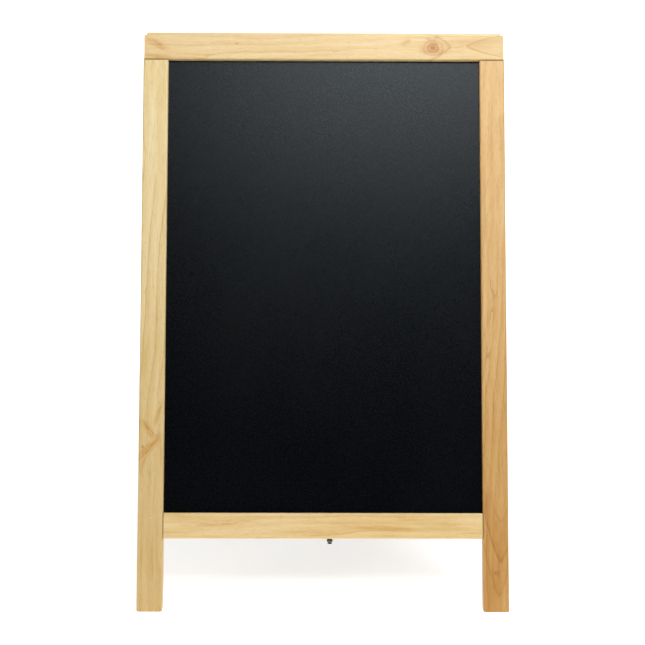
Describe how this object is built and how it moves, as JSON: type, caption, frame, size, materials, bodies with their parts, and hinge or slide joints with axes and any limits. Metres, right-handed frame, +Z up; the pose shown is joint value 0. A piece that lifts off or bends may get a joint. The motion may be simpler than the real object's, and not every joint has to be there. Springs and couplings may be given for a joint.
{
  "type": "sandwich board",
  "caption": "Folding A-frame pavement sign of two hinged timber frames with black chalk panels and a folding steel stay.",
  "frame": {"origin": "centre of the footprint, on the ground, with the board standing open", "axes": "+Z up, +X to the right of someone looking at the front panel, the front panel faces -Y"},
  "size_m": [0.55, 0.6424, 0.8168],
  "materials": {
    "stile_wood": "satin lacquered pale timber, vertical grain",
    "rail_wood": "satin lacquered pale timber, horizontal grain",
    "dowel_wood": "plain beech",
    "chalk_surface": "satin black chalk surface with a fine tooth",
    "zinc_steel": "zinc plated",
    "stay_steel": "dull zinc plated"
  },
  "bodies": {
    "front_frame": {"front_top_rail": "rail_wood", "front_left_stile": "stile_wood", "front_right_stile": "stile_wood", "front_bottom_rail": "rail_wood", "front_chalk_panel": "chalk_surface", "front_dowels": "dowel_wood", "left_hinge_front_leaf": "zinc_steel", "left_hinge_pin": "zinc_steel", "left_hinge_front_screws": "zinc_steel", "right_hinge_front_leaf": "zinc_steel", "right_hinge_pin": "zinc_steel", "right_hinge_front_screws": "zinc_steel", "front_stay_screw": "stay_steel"},
    "back_frame": {"back_top_rail": "rail_wood", "back_left_stile": "stile_wood", "back_right_stile": "stile_wood", "back_bottom_rail": "rail_wood", "back_chalk_panel": "chalk_surface", "back_dowels": "dowel_wood", "left_hinge_back_leaf": "zinc_steel", "left_hinge_back_screws": "zinc_steel", "right_hinge_back_leaf": "zinc_steel", "right_hinge_back_screws": "zinc_steel", "back_stay_bush": "stay_steel"},
    "stay_ring": {"front_stay_ring": "stay_steel"},
    "front_link": {"front_stay_link": "stay_steel", "stay_rivet": "stay_steel"},
    "rear_link": {"rear_stay_link": "stay_steel", "back_stay_stud": "stay_steel"}
  },
  "joints": [
    {"name": "fold", "type": "hinge", "parent": "front_frame", "child": "back_frame", "pos_m": [0, 0, 0.8036], "axis": [1, 0, 0], "range_deg": [-40, 0]},
    {"name": "stay_tilt", "type": "hinge", "parent": "front_frame", "child": "stay_ring", "pos_m": [0.01, -0.27064, 0.09219], "axis": [1, 0, 0], "range_deg": [-20, 0]},
    {"name": "stay_swing", "type": "hinge", "parent": "stay_ring", "child": "front_link", "pos_m": [0.01, -0.27064, 0.09219], "axis": [0, 0, 1], "range_deg": [0, 87.68]},
    {"name": "stay_elbow", "type": "hinge", "parent": "front_link", "child": "rear_link", "pos_m": [0.01, 0, 0.09049], "axis": [0, 0, 1], "range_deg": [-175.35, 0]}
  ],
  "couplings": [
    {"joint": "stay_tilt", "follows": "fold", "ratio": 0.5},
    {"joint": "stay_swing", "follows": "fold", "ratio": -2.1918},
    {"joint": "stay_elbow", "follows": "fold", "ratio": 4.3835}
  ]
}
